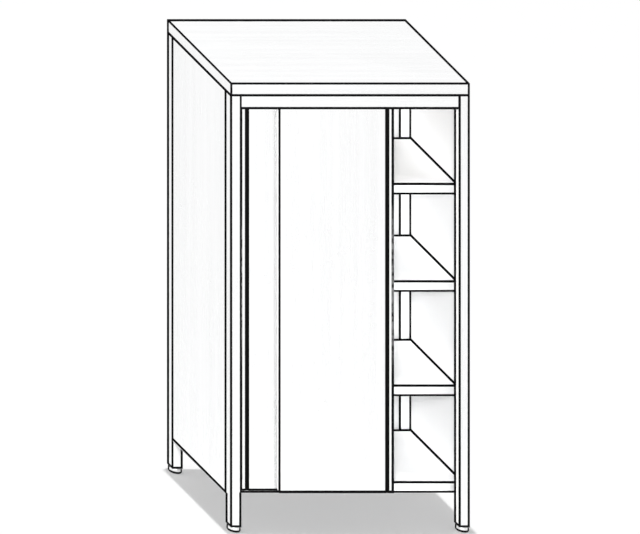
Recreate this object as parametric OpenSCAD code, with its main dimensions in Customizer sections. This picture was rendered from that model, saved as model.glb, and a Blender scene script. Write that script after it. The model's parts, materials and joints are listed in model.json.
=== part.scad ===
// Dish storage cabinet in stainless steel with two sliding doors, three shelves and a base.
// The origin is on the floor at the middle of the footprint, the front faces -Y and +Z is up.

/* [Cabinet] */
// Outside width over the legs
cabinet_w = 1000; // [900:10:1200]
// Outside depth over the legs
cabinet_d = 500; // [450:10:700]
// Height from the lower ends of the legs to the top surface
body_h = 1856; // [1750:1:2000]
// Height of foot that shows under each leg
foot_show = 22; // [18:1:30]

/* [Legs and rails] */
// Side of the square leg tube
leg_side = 45; // [45:1:50]
// Wall of the leg tube
leg_wall = 1.5; // [1.2:0.1:2]
// Outer corner radius of the leg tube
leg_radius = 3; // [2.5:0.5:4]
// Thickness of the plate that closes the upper end of a leg
leg_plate = 3; // [2:0.5:5]
// Width of both sides of the angle rails under the top
rail_side = 25; // [20:1:28]
// Wall of the angle rails under the top
rail_wall = 2; // [1.5:0.1:3]

/* [Panels] */
// Sheet of the side panels, the back panel and the shelves
sheet = 0.8; // [0.7:0.1:1.2]
// How far the side panels stand back from the outer faces of the legs
panel_recess = 0.5; // [0.3:0.1:1.5]
// Width of the folded edges of a side panel
panel_fold = 10; // [8:1:15]
// How far the panels' lower edges lie above the lower edge of the base
panel_rise = 2; // [0:0.5:10]
// How far the back panel stands behind the front faces of the rear legs
back_setback = 14; // [8:1:18]
// Width of the folded edges of the back panel
back_fold = 22; // [15:1:25]

/* [Top] */
// Height of the folded edge of the top
top_edge = 52; // [45:1:60]
// Sheet of the top
top_sheet = 1.2; // [1:0.1:1.5]
// Outer bend radius of the top
top_bend = 3; // [2:0.5:4]
// Width of the flange that returns under the top
top_return = 30; // [28:1:40]
// Thickness of the sound-deadening board
board_t = 18; // [16:1:22]
// Height of the hat stiffeners under the board
top_hat_h = 20; // [15:1:22]
// Distance of those stiffeners from the middle of the top
top_hat_y = 100; // [60:5:130]

/* [Shelves] */
// Height of the folded edge of a shelf
shelf_edge = 45; // [36:1:48]
// Outer bend radius of a shelf
shelf_bend = 2; // [1.5:0.5:3]
// Width of the flange that returns under a shelf
shelf_return = 12; // [10:1:16]
// Base surface above the lower ends of the legs
base_level = 161; // [150:1:175]
// Lower shelf surface above the base surface
lower_level = 378; // [340:1:400]
// Middle shelf surface above the base surface
middle_level = 814; // [760:1:850]
// Upper shelf surface above the base surface
upper_level = 1221; // [1150:1:1250]
// How far the base stands back from the front of the legs
base_setback = 50; // [50:1:54]
// How far the shelves stand back from the front of the legs
shelf_setback = 98; // [90:1:110]
// Height of the hat stiffener under a shelf
shelf_hat_h = 20; // [15:1:25]
// Width of both sides of the angles that carry the shelves
support_side = 20; // [16:1:24]
// Wall of the angles that carry the shelves
support_wall = 1.5; // [1.2:0.1:2]

/* [Hat stiffeners] */
// Width of the crown of a hat stiffener
hat_w = 40; // [30:1:60]
// Width of each flange of a hat stiffener
hat_flange = 12; // [10:1:18]
// Distance from the end of a hat stiffener to the fold beside it
hat_end_gap = 15; // [5:1:30]

/* [Header and track] */
// Height of the header that shows under the top
header_h = 58; // [50:1:60]
// Sheet of the header
header_sheet = 1.5; // [1.2:0.1:1.8]
// Height of the closed hem along the header's lower edge
header_hem = 12; // [8:1:14]
// Wall of the double track
track_wall = 1.5; // [1.2:0.1:1.8]
// Height of the lip that the rollers run on
lip_h = 9; // [7:0.5:10]
// Length of a rubber stop in the track
stop_l = 12; // [8:1:16]

/* [Doors] */
// Thickness of a door
door_t = 17; // [16:0.5:17.5]
// Sheet of a door
door_sheet = 0.8; // [0.7:0.1:1.2]
// Outer bend radius along the sides of a door
door_bend = 1.5; // [1:0.5:2]
// Width of the flange that returns at the back of a door
door_return = 12; // [8:1:16]
// How far the front door stands back from the front of the legs
front_gap = 5; // [4:0.5:5.5]
// Free space between the two doors
door_gap = 3; // [2:0.5:3]
// Free space between a closed door and the leg
door_end_gap = 1.5; // [1:0.5:3]
// How far the doors overlap when both are closed
door_overlap = 53; // [50:1:100]
// How far the doors' lower edges lie below the base surface
door_drop = 22; // [18:0.5:22]
// Free height between the doors and the track
hang_gap = 7.5; // [6:0.5:9]
// How far the front door stands open
door_open = 268.5; // [0:0.5:300]
// How far the rear door stands open
rear_open = 5; // [0:0.5:300]
// Width of the door edge outside the grip
grip_edge = 21; // [16:1:21]
// Width of the grip groove
grip_w = 16; // [13:1:16]
// Depth of the grip groove
grip_depth = 12; // [10:0.5:13]
// Wall of the plastic grip liner
grip_wall = 1.5; // [1:0.1:2]
// Height of the channels that close a door above and below
channel_h = 15; // [14:1:20]
// Wall of those channels
channel_wall = 1.2; // [1:0.1:1.5]

/* [Rollers and guides] */
// Outer radius of a roller
roller_r = 10.5; // [9.5:0.1:11.5]
// Depth of the groove in a roller
groove_depth = 1.8; // [1.2:0.1:2.5]
// Width of a roller
roller_w = 8; // [7:0.5:8.5]
// Radius of a roller's axle
axle_r = 3; // [2.5:0.1:3.5]
// Thickness of the hanger plates
hanger_t = 2.5; // [2:0.1:3]
// Width of a hanger
hanger_w = 44; // [38:1:46]
// Distance from a door's edge to the middle of its hanger
hanger_inset = 60; // [60:1:120]
// Radius of the nylon guide pins under the doors
guide_r = 5; // [4:0.1:5.2]
// Thickness of the guide plate
guide_t = 2; // [1.5:0.1:2.5]
// Free height between the guide plate and the doors
guide_gap = 2; // [1.5:0.5:4]

/* [Feet] */
// Radius of a foot
foot_r = 26; // [18:0.5:28]
// Radius of the rounded lower edge of a foot
foot_round = 7; // [3:0.5:7]
// Radius of the threaded stem of a foot
stem_r = 6; // [5:0.5:8]
// How far a stem reaches up into its leg
stem_reach = 60; // [50:1:80]
// Length of the threaded plug inside a leg
plug_l = 28; // [20:1:40]
// Thickness of the plug's flange under a leg
plug_flange = 2; // [1.5:0.5:4]

/* [Fasteners] */
// Radius of the screws that hold the top
top_screw_r = 2.5; // [2:0.1:2.8]
// Distance of the outer top screws from the legs
screw_inset = 60; // [50:1:90]
// Radius of the screws in the hangers and in the guide plate
small_screw_r = 2.2; // [2:0.1:2.5]
// Height of the screw and axle heads
head_h = 1.5; // [1.2:0.1:1.8]

/* [Hidden] */
$fn = 48;
// Clearances: parts that only meet, parts that pass each other, a shaft that turns or slides
// in its hole, a thread, a screw in a loose hole
seat_gap = 0.1;
slide_gap = 0.3;
running_gap = 0.06;
thread_gap = 0.05;
loose_gap = 0.3;
// Cutters reach this far past the face that they open
through = 1;

// Heights
top_z = foot_show + body_h;
leg_top_z = top_z - top_edge;
leg_h = leg_top_z - foot_show;
header_z = leg_top_z - header_h;
base_z = foot_show + base_level;
base_low_z = base_z - shelf_edge;
panel_z = base_low_z + panel_rise;
panel_h = leg_top_z - panel_z - seat_gap;
shelf_levels = [base_z, base_z + lower_level, base_z + middle_level, base_z + upper_level];

// Widths and depths
front_y = -cabinet_d / 2;
rear_y = cabinet_d / 2;
leg_x = (cabinet_w - leg_side) / 2;
leg_y = (cabinet_d - leg_side) / 2;
leg_bore = leg_side - 2 * leg_wall;
leg_bore_radius = leg_radius - leg_wall / 2;
plug_side = leg_bore - 2 * seat_gap;
opening_w = cabinet_w - 2 * leg_side;
bay_y = rear_y - leg_side;
panel_outer_x = cabinet_w / 2 - panel_recess;
panel_inner_x = panel_outer_x - sheet;
panel_l = 2 * (bay_y - seat_gap);
between_folds = 2 * (bay_y - seat_gap - sheet - slide_gap);
back_y = bay_y + back_setback;
back_w = opening_w - 2 * seat_gap;
rail_rear_y = back_y + sheet + seat_gap;
shelf_w = 2 * (panel_inner_x - support_wall - slide_gap);
shelf_rear_y = between_folds / 2;
base_front_y = front_y + base_setback;
shelf_front_y = front_y + shelf_setback;

// Track and rollers, where y is measured from the middle of a door's thickness
flank_w = 1.2;
groove_half = track_wall / 2 + 0.25;
roller_play = 0.4;
roller_headroom = 0.7;
groove_r = roller_r - groove_depth;
track_h = lip_h + thread_gap + groove_r + roller_r + roller_headroom + head_h + track_wall;
track_top_z = leg_top_z - header_sheet;
track_z = track_top_z - track_h;
lip_z = track_z + lip_h;
roller_z = lip_z + thread_gap + groove_r;
web_y = roller_w / 2 + 2;
plate_y = -roller_w / 2 - roller_play - hanger_t;
track_l = opening_w - 2 * slide_gap;
track_front_y = front_y + header_sheet + slide_gap;

// Doors
door_z = base_z - door_drop;
door_top_z = track_z - hang_gap;
door_h = door_top_z - door_z;
door_w = (opening_w - 2 * door_end_gap + door_overlap) / 2;
door_travel = opening_w - 2 * door_end_gap - door_w;
front_door_x = door_travel / 2 - door_open;
rear_door_x = rear_open - door_travel / 2;
front_door_y = front_y + front_gap;
rear_door_y = front_door_y + door_t + door_gap;
track_ys = [front_door_y + door_t / 2, rear_door_y + door_t / 2];
grip_x = door_w / 2 - grip_edge - grip_w;
cavity_x = -door_w / 2 + door_sheet + seat_gap;
cavity_w = grip_x - door_sheet - seat_gap - cavity_x;
cavity_y = door_sheet + seat_gap;
cavity_t = door_t - 2 * cavity_y;
hanger_x = door_w / 2 - hanger_inset;
hanger_top = roller_z + roller_r - door_z - 1;
hanger_foot_y = cavity_t / 2 - 1;
hanger_screw_x = hanger_w / 2 - 8;
hanger_screw_y = (plate_y + hanger_t + hanger_foot_y) / 2;
hanger_screw_l = hanger_t + channel_wall + 5;
tail_gap = 0.2;
tail_h = 0.8;

// Top screws
screw_head = 1.9;
screw_tail = 4;
front_screw_count = 5;
side_screw_count = 3;
front_screw_reach = opening_w / 2 - screw_inset;
side_screw_reach = bay_y - screw_inset;
side_screw_x = panel_inner_x - seat_gap - rail_side / 2;
rear_screw_y = rail_rear_y + rail_side / 2;

// Guide under the doors
guide_x = (grip_edge + grip_w) / 2;
guide_z = door_z - guide_gap;
guide_low_z = base_low_z + 0.5;
guide_arm_w = 2 * (guide_r + 2);
guide_w = 2 * guide_x + guide_arm_w;
guide_screw_x = guide_w / 2 - 6;
guide_screw_z = (guide_low_z + guide_z - guide_t) / 2;
guide_pin_h = guide_gap + channel_h - channel_wall - 3;

// A block between two corners
module block(low, high) {
    translate(low) cube(high - low);
}

// A profile in Y and Z drawn out along X, centred
module along_x(length) {
    translate([-length / 2, 0, 0]) rotate([90, 0, 90]) linear_extrude(length) children();
}

// A rectangle between two corners
module area(low, high) {
    translate(low) square(high - low);
}

// A square with round corners, centred
module rounded_square(side, radius) {
    square([side, side - 2 * radius], center = true);
    square([side - 2 * radius, side], center = true);
    for (x = [-1, 1], y = [-1, 1])
        translate([x, y] * (side / 2 - radius)) circle(radius);
}

// A rectangle on the X axis, centred, its upper corners round
module arched_rectangle(width, height, radius) {
    translate([-width / 2, 0]) square([width, height - radius]);
    translate([-width / 2 + radius, 0]) square([width - 2 * radius, height]);
    for (x = [-1, 1])
        translate([x * (width / 2 - radius), height - radius]) circle(radius);
}

// A block on z = 0 whose upper edges are bent to a radius
module bent_block(width, depth, height, radius) {
    intersection() {
        translate([0, depth / 2, 0]) rotate([90, 0, 0])
            linear_extrude(depth) arched_rectangle(width, height, radius);
        translate([-width / 2, 0, 0]) rotate([90, 0, 90])
            linear_extrude(width) arched_rectangle(depth, height, radius);
    }
}

// A folded pan: a sheet with four edges bent down and a flange returned under each
module folded_pan(width, depth, height, wall, bend, return_w) {
    difference() {
        bent_block(width, depth, height, bend);
        translate([0, 0, wall])
            bent_block(width - 2 * wall, depth - 2 * wall, height - 2 * wall, bend - wall / 2);
        block([return_w - width / 2, return_w - depth / 2, -through],
              [width / 2 - return_w, depth / 2 - return_w, height / 2]);
    }
}

// A hat section along X, its flanges under z = 0 and its crown below
module hat_section(length, height) {
    half = hat_w / 2;
    along_x(length) {
        area([-half, -height], [half, sheet - height]);
        for (side = [0, 1]) mirror([side, 0]) {
            area([half - sheet, -height], [half, 0]);
            area([half - sheet, -sheet], [half + hat_flange, 0]);
        }
    }
}

// An angle along Y, its corner edge on the Y axis, its sides towards -X and +Z
module angle_section(length, side, wall) {
    block([-side, -length / 2, 0], [0, length / 2, wall]);
    block([-wall, -length / 2, 0], [0, length / 2, side]);
}

// A pan-head screw, its head under z = 0
module screw(radius, length) {
    translate([0, 0, -head_h]) cylinder(r = screw_head * radius, h = head_h);
    cylinder(r = radius, h = length);
}

module at_corner(x_side, y_side) {
    translate([x_side * leg_x, y_side * leg_y, 0]) children();
}

module leg(x_side, y_side) {
    color("gainsboro") at_corner(x_side, y_side)
        translate([0, 0, foot_show]) linear_extrude(leg_h) difference() {
            rounded_square(leg_side, leg_radius);
            rounded_square(leg_bore, leg_bore_radius);
        }
}

module leg_top_plates() {
    color("silver") for (x = [-1, 1], y = [-1, 1]) at_corner(x, y)
        translate([0, 0, leg_top_z - leg_plate])
            linear_extrude(leg_plate) rounded_square(plug_side, leg_bore_radius);
}

module leg_plugs() {
    color("dimgray") for (x = [-1, 1], y = [-1, 1]) at_corner(x, y) difference() {
        union() {
            translate([0, 0, foot_show])
                linear_extrude(plug_l) rounded_square(plug_side, leg_bore_radius);
            translate([0, 0, foot_show - plug_flange])
                linear_extrude(plug_flange) rounded_square(leg_side, leg_radius);
        }
        translate([0, 0, foot_show - plug_flange - through])
            cylinder(r = stem_r + running_gap, h = plug_l + plug_flange + 2 * through);
    }
}

pad_h = foot_show - plug_flange - slide_gap;
stem_z = pad_h / 2;

module foot_pad(x_side, y_side) {
    color("silver") at_corner(x_side, y_side) difference() {
        rotate_extrude() {
            square([foot_r - foot_round, pad_h]);
            area([0, foot_round], [foot_r, pad_h]);
            translate([foot_r - foot_round, foot_round]) circle(foot_round);
        }
        translate([0, 0, stem_z]) cylinder(r = stem_r + thread_gap, h = pad_h);
    }
}

module foot_stem(x_side, y_side) {
    color("darkgray") at_corner(x_side, y_side)
        translate([0, 0, stem_z]) cylinder(r = stem_r, h = foot_show + stem_reach - stem_z);
}

// Children at each top screw, on the underside of what it clamps
module at_top_screws() {
    for (i = [0 : front_screw_count - 1]) {
        x = front_screw_reach * (2 * i / (front_screw_count - 1) - 1);
        translate([x, track_ys[0], track_top_z - track_wall]) children();
        translate([x, rear_screw_y, leg_top_z - rail_wall]) children();
    }
    for (i = [0 : side_screw_count - 1], side = [-1, 1]) {
        y = side_screw_reach * (2 * i / (side_screw_count - 1) - 1);
        translate([side * side_screw_x, y, leg_top_z - rail_wall]) children();
    }
}

module top_screw_holes(clearance) {
    at_top_screws() translate([0, 0, -through])
        cylinder(r = top_screw_r + clearance, h = rail_wall + header_sheet + top_sheet + 6);
}

module top_screws() {
    color("silver") at_top_screws()
        screw(top_screw_r, rail_wall + top_sheet + screw_tail);
}

module top_pan() {
    color("gainsboro") difference() {
        translate([0, 0, leg_top_z])
            folded_pan(cabinet_w, cabinet_d, top_edge, top_sheet, top_bend, top_return);
        top_screw_holes(thread_gap);
    }
}

module top_board() {
    edge = top_sheet / 2 + top_bend + seat_gap;
    color("burlywood")
        block([edge - cabinet_w / 2, edge - cabinet_d / 2, top_z - top_sheet - board_t],
              [cabinet_w / 2 - edge, cabinet_d / 2 - edge, top_z - top_sheet]);
}

module top_stiffeners() {
    color("silver") for (y = [-top_hat_y, top_hat_y])
        translate([0, y, top_z - top_sheet - board_t])
            hat_section(cabinet_w - 2 * (top_return + hat_end_gap), top_hat_h);
}

module top_rail_side(mirrored) {
    color("silver") difference() {
        mirror([mirrored, 0, 0]) translate([panel_inner_x - seat_gap, 0, leg_top_z])
            mirror([0, 0, 1]) angle_section(between_folds, rail_side, rail_wall);
        top_screw_holes(loose_gap);
    }
}

module top_rail_rear() {
    color("silver") difference() {
        translate([0, rail_rear_y, leg_top_z]) mirror([0, 0, 1]) rotate([0, 0, -90])
            angle_section(back_w - 2 * (sheet + slide_gap), rail_side, rail_wall);
        top_screw_holes(loose_gap);
    }
}

module header() {
    color("gainsboro") difference() {
        along_x(opening_w - 2 * seat_gap) {
            area([front_y, header_z + header_sheet], [front_y + header_sheet, leg_top_z]);
            area([front_y, header_z + header_sheet],
                 [front_y + 2 * header_sheet, header_z + header_hem]);
            translate([front_y + header_sheet, header_z + header_sheet]) circle(header_sheet);
            area([front_y, track_top_z], [front_y + leg_side, leg_top_z]);
        }
        top_screw_holes(loose_gap);
    }
}

module door_track() {
    color("darkgray") difference() {
        along_x(track_l) {
            for (y = track_ys) {
                area([y - track_wall / 2, track_z],
                     [y + track_wall / 2, lip_z - track_wall / 2]);
                translate([y, lip_z - track_wall / 2]) circle(track_wall / 2);
                area([y - track_wall / 2, track_z],
                     [y + web_y + track_wall, track_z + track_wall]);
                area([y + web_y, track_z], [y + web_y + track_wall, track_top_z]);
            }
            area([track_front_y, track_top_z - track_wall],
                 [track_ys[1] + web_y + track_wall, track_top_z]);
        }
        top_screw_holes(loose_gap);
    }
}

module track_stops() {
    from_leg = door_end_gap + hanger_inset - hanger_w / 2 - slide_gap;
    color("dimgray") for (side = [0, 1], y = track_ys) mirror([side, 0, 0])
        block([opening_w / 2 - from_leg, y + plate_y, lip_z + seat_gap],
              [opening_w / 2 - from_leg + stop_l, y + web_y - seat_gap,
               track_top_z - track_wall - head_h - slide_gap]);
}

module side_panel(mirrored) {
    inner_x = panel_outer_x - panel_fold;
    color("lightgray") mirror([mirrored, 0, 0]) {
        block([panel_inner_x, -panel_l / 2, panel_z],
              [panel_outer_x, panel_l / 2, panel_z + panel_h]);
        block([inner_x, panel_l / 2 - sheet, panel_z],
              [panel_outer_x, panel_l / 2, panel_z + panel_h]);
        block([inner_x, -panel_l / 2, panel_z],
              [panel_outer_x, sheet - panel_l / 2, panel_z + panel_h]);
    }
}

module back_panel() {
    top = panel_z + panel_h;
    color("lightgray") {
        block([-back_w / 2, back_y, panel_z], [back_w / 2, back_y + sheet, top]);
        block([-back_w / 2, back_y, panel_z], [back_w / 2, back_y + back_fold, panel_z + sheet]);
        for (side = [0, 1]) mirror([side, 0, 0])
            block([back_w / 2 - sheet, back_y, panel_z], [back_w / 2, back_y + back_fold, top]);
    }
}

module shelf_board(level, shelf_y) {
    depth = shelf_rear_y - shelf_y;
    translate([0, shelf_y + depth / 2, level - shelf_edge])
        folded_pan(shelf_w, depth, shelf_edge, sheet, shelf_bend, shelf_return);
}

module base_shelf() {
    color("gainsboro") difference() {
        shelf_board(base_z, base_front_y);
        for (x = [-guide_screw_x, guide_screw_x])
            translate([x, base_front_y - through, guide_screw_z]) rotate([-90, 0, 0])
                cylinder(r = small_screw_r + thread_gap, h = sheet + 2 * through);
    }
}

module upper_shelf(i) {
    color("gainsboro") shelf_board(shelf_levels[i], shelf_front_y);
}

module shelf_stiffeners() {
    length = shelf_w - 2 * (shelf_return + hat_end_gap);
    color("silver") for (i = [0 : 3]) {
        from_y = i == 0 ? base_front_y : shelf_front_y;
        translate([0, (from_y + shelf_rear_y) / 2, shelf_levels[i] - sheet])
            hat_section(length, shelf_hat_h);
    }
}

module shelf_supports() {
    color("silver") for (i = [0 : 3], side = [0, 1]) {
        from_y = (i == 0 ? base_front_y : shelf_front_y) + support_wall;
        mirror([side, 0, 0])
            translate([panel_inner_x, (from_y + shelf_rear_y) / 2,
                       shelf_levels[i] - shelf_edge - support_wall])
                angle_section(shelf_rear_y - from_y, support_side, support_wall);
    }
}

// The pins stand where their door covers them at every position
module at_guide_pins() {
    for (i = [0, 1]) translate([(2 * i - 1) * guide_x, track_ys[i], guide_z]) children();
}

module guide_plate() {
    color("silver") difference() {
        union() {
            block([-guide_w / 2, base_front_y - guide_t, guide_low_z],
                  [guide_w / 2, base_front_y, guide_z]);
            at_guide_pins()
                block([-guide_arm_w / 2, -guide_r - 0.5, -guide_t], [guide_arm_w / 2, guide_r, 0]);
            for (i = [0, 1])
                block([(2 * i - 1) * guide_x - guide_arm_w / 2, track_ys[i], guide_z - guide_t],
                      [(2 * i - 1) * guide_x + guide_arm_w / 2, base_front_y, guide_z]);
        }
        at_guide_pins() translate([0, 0, -guide_t - through])
            cylinder(r = small_screw_r + thread_gap, h = guide_t + 2 * through);
        for (x = [-guide_screw_x, guide_screw_x])
            translate([x, base_front_y - guide_t - through, guide_screw_z]) rotate([-90, 0, 0])
                cylinder(r = small_screw_r + loose_gap, h = guide_t + 2 * through);
    }
}

module guide_pins() {
    color("whitesmoke") at_guide_pins() {
        cylinder(r = guide_r, h = guide_pin_h);
        translate([0, 0, -guide_t]) screw(small_screw_r, guide_t + 1);
    }
}

module guide_screws() {
    color("silver") for (x = [-guide_screw_x, guide_screw_x])
        translate([x, base_front_y - guide_t, guide_screw_z]) rotate([-90, 0, 0])
            screw(small_screw_r, guide_t + sheet + 5);
}

// The doors are drawn with the grip on the right, and the rear one is the mirror image
module at_front_door() {
    translate([front_door_x, front_door_y, door_z]) children();
}

module at_rear_door() {
    translate([rear_door_x, rear_door_y, door_z]) mirror([1, 0, 0]) children();
}

module door_skin() {
    half = door_w / 2;
    grip_end = grip_x + grip_w;
    floor_y = grip_depth + door_sheet;
    color("gainsboro") {
        linear_extrude(door_h) intersection() {
            union() {
                area([-half, 0], [grip_x, door_sheet]);
                area([grip_end, 0], [half, door_sheet]);
                area([grip_x - door_sheet, 0], [grip_x, floor_y]);
                area([grip_end, 0], [grip_end + door_sheet, floor_y]);
                area([grip_x - door_sheet, grip_depth], [grip_end + door_sheet, floor_y]);
                for (side = [0, 1]) mirror([side, 0]) {
                    area([half - door_sheet, 0], [half, door_t]);
                    area([half - door_return, door_t - door_sheet], [half, door_t]);
                }
            }
            union() {
                area([-half, door_bend], [half, door_t - door_bend]);
                area([door_bend - half, 0], [half - door_bend, door_t]);
                for (x = [-1, 1], y = [door_bend, door_t - door_bend])
                    translate([x * (half - door_bend), y]) circle(door_bend);
            }
        }
        for (z = [0, door_h - door_sheet]) translate([0, 0, z])
            block([grip_end + door_sheet / 2, door_sheet / 2, 0],
                  [half - door_sheet / 2, door_t - door_sheet - slide_gap, door_sheet]);
    }
}

module door_back() {
    color("gainsboro")
        block([door_return + slide_gap - door_w / 2, door_t - door_sheet, 0],
              [door_w / 2 - door_return - slide_gap, door_t, door_h]);
}

module door_core() {
    color("burlywood")
        block([cavity_x, cavity_y, channel_h + seat_gap],
              [cavity_x + cavity_w, cavity_y + cavity_t, door_h - channel_h - seat_gap]);
}

module door_channel(z) {
    color("silver") translate([cavity_x, cavity_y, z]) difference() {
        cube([cavity_w, cavity_t, channel_h]);
        block([-through, channel_wall, -through],
              [cavity_w + through, cavity_t - channel_wall, channel_h - channel_wall]);
    }
}

module door_top_channel() {
    difference() {
        door_channel(door_h - channel_h);
        at_hanger_screws() translate([0, 0, -hanger_t])
            cylinder(r = small_screw_r + thread_gap, h = hanger_t);
    }
}

module door_bottom_channel() {
    door_channel(0);
}

module door_grip() {
    color("black") difference() {
        block([grip_x + seat_gap, slide_gap, 0],
              [grip_x + grip_w - seat_gap, grip_depth - seat_gap, door_h]);
        block([grip_x + seat_gap + grip_wall, -through, -through],
              [grip_x + grip_w - seat_gap - grip_wall, grip_depth - seat_gap - grip_wall,
               door_h + through]);
    }
}

// Children at the two hangers, on the door's upper edge
module at_hangers() {
    for (x = [-hanger_x, hanger_x]) translate([x, door_t / 2, door_h]) children();
}

module at_hanger_screws() {
    at_hangers() for (x = [-hanger_screw_x, hanger_screw_x])
        translate([x, hanger_screw_y, 0]) children();
}

module at_axle() {
    translate([0, 0, roller_z - door_z - door_h]) rotate([-90, 0, 0]) children();
}

module door_hangers() {
    plate_h = hanger_top - door_h;
    color("silver") difference() {
        at_hangers() {
            block([-hanger_w / 2, plate_y, 0], [hanger_w / 2, hanger_foot_y, hanger_t]);
            translate([0, plate_y + hanger_t, 0]) rotate([90, 0, 0])
                linear_extrude(hanger_t) arched_rectangle(hanger_w, plate_h, 8);
        }
        at_hanger_screws() translate([0, 0, -through])
            cylinder(r = small_screw_r + loose_gap, h = hanger_t + 2 * through);
        at_hangers() at_axle() translate([0, 0, plate_y - through])
            cylinder(r = axle_r + thread_gap, h = hanger_t + 2 * through);
    }
}

module door_hanger_screws() {
    color("silver") at_hanger_screws() translate([0, 0, hanger_t]) mirror([0, 0, 1])
        screw(small_screw_r, hanger_screw_l);
}

module door_axles() {
    color("silver") at_hangers() at_axle() {
        translate([0, 0, plate_y - head_h]) cylinder(r = axle_r + 2, h = head_h);
        translate([0, 0, plate_y])
            cylinder(r = axle_r, h = roller_w / 2 + tail_gap + tail_h - plate_y);
        translate([0, 0, roller_w / 2 + tail_gap]) cylinder(r = axle_r + 1.5, h = tail_h);
    }
}

module door_roller(side) {
    half = roller_w / 2;
    rim = groove_half + flank_w;
    chamfer = 0.5;
    color("whitesmoke") translate([side * hanger_x, door_t / 2, door_h]) at_axle()
        rotate_extrude() polygon([
            [axle_r + running_gap, -half],
            [roller_r - chamfer, -half],
            [roller_r, chamfer - half],
            [roller_r, -rim],
            [groove_r, -groove_half],
            [groove_r, groove_half],
            [roller_r, rim],
            [roller_r, half - chamfer],
            [roller_r - chamfer, half],
            [axle_r + running_gap, half]]);
}

leg(-1, -1);  // leg_front_left
leg(1, -1);  // leg_front_right
leg(-1, 1);  // leg_rear_left
leg(1, 1);  // leg_rear_right
leg_top_plates();
leg_plugs();
foot_pad(-1, -1);  // foot_pad_front_left
foot_pad(1, -1);  // foot_pad_front_right
foot_pad(-1, 1);  // foot_pad_rear_left
foot_pad(1, 1);  // foot_pad_rear_right
foot_stem(-1, -1);  // foot_stem_front_left
foot_stem(1, -1);  // foot_stem_front_right
foot_stem(-1, 1);  // foot_stem_rear_left
foot_stem(1, 1);  // foot_stem_rear_right
top_pan();
top_board();
top_stiffeners();
top_rail_side(1);  // top_rail_left
top_rail_side(0);  // top_rail_right
top_rail_rear();
top_screws();
header();
door_track();
track_stops();
side_panel(1);  // side_panel_left
side_panel(0);  // side_panel_right
back_panel();
base_shelf();
upper_shelf(1);  // shelf_lower
upper_shelf(2);  // shelf_middle
upper_shelf(3);  // shelf_upper
shelf_stiffeners();
shelf_supports();
guide_plate();
guide_pins();
guide_screws();
at_front_door() door_skin();  // front_door_skin
at_front_door() door_back();  // front_door_back
at_front_door() door_core();  // front_door_core
at_front_door() door_grip();  // front_door_grip
at_front_door() door_top_channel();  // front_door_top_channel
at_front_door() door_bottom_channel();  // front_door_bottom_channel
at_front_door() door_hangers();  // front_door_hangers
at_front_door() door_hanger_screws();  // front_door_hanger_screws
at_front_door() door_axles();  // front_door_axles
at_front_door() door_roller(-1);  // front_door_roller_left
at_front_door() door_roller(1);  // front_door_roller_right
at_rear_door() door_skin();  // rear_door_skin
at_rear_door() door_back();  // rear_door_back
at_rear_door() door_core();  // rear_door_core
at_rear_door() door_grip();  // rear_door_grip
at_rear_door() door_top_channel();  // rear_door_top_channel
at_rear_door() door_bottom_channel();  // rear_door_bottom_channel
at_rear_door() door_hangers();  // rear_door_hangers
at_rear_door() door_hanger_screws();  // rear_door_hanger_screws
at_rear_door() door_axles();  // rear_door_axles
at_rear_door() door_roller(1);  // rear_door_roller_left
at_rear_door() door_roller(-1);  // rear_door_roller_right
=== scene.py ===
import json
import math

import bmesh
import bpy
import numpy as np
from mathutils import Matrix, Vector

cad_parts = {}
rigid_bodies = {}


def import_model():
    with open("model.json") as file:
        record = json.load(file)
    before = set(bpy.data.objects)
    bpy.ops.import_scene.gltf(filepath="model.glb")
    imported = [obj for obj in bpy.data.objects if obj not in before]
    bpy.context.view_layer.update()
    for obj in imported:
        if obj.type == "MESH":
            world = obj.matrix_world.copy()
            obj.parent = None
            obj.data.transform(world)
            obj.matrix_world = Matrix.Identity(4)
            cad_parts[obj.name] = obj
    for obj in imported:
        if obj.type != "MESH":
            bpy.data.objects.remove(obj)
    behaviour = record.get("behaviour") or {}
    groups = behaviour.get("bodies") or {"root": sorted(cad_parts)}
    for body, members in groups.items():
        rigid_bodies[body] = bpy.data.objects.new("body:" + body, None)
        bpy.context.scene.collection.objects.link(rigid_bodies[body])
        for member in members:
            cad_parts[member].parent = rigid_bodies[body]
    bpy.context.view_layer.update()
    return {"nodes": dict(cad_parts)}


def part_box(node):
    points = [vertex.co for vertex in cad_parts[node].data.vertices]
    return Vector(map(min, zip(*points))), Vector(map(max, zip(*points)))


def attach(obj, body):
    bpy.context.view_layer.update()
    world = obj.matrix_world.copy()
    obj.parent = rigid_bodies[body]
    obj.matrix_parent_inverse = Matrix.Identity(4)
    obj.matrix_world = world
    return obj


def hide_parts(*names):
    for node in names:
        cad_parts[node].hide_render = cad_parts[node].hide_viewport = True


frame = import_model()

mm = 0.001
nodes = frame["nodes"]
scene = bpy.context.scene
print("frame loaded,", len(nodes), "pieces")


# camera: the drawing is oblique, so the front keeps its shape and the depth runs up and left at 45 degrees

cameraView = {
    "pixelsPerMetre": 239.2,  # along the front of the cabinet
    "imageSize": (640, 534),
    "floorMiddle": (350.6, 532.4),  # where the middle of the front meets the floor, in pixels
    "depthShare": 0.5385,  # a metre of depth is drawn this much to the left and as much up
    "distance": 9.0,
    "clipEnd": 80.0,
}


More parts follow.
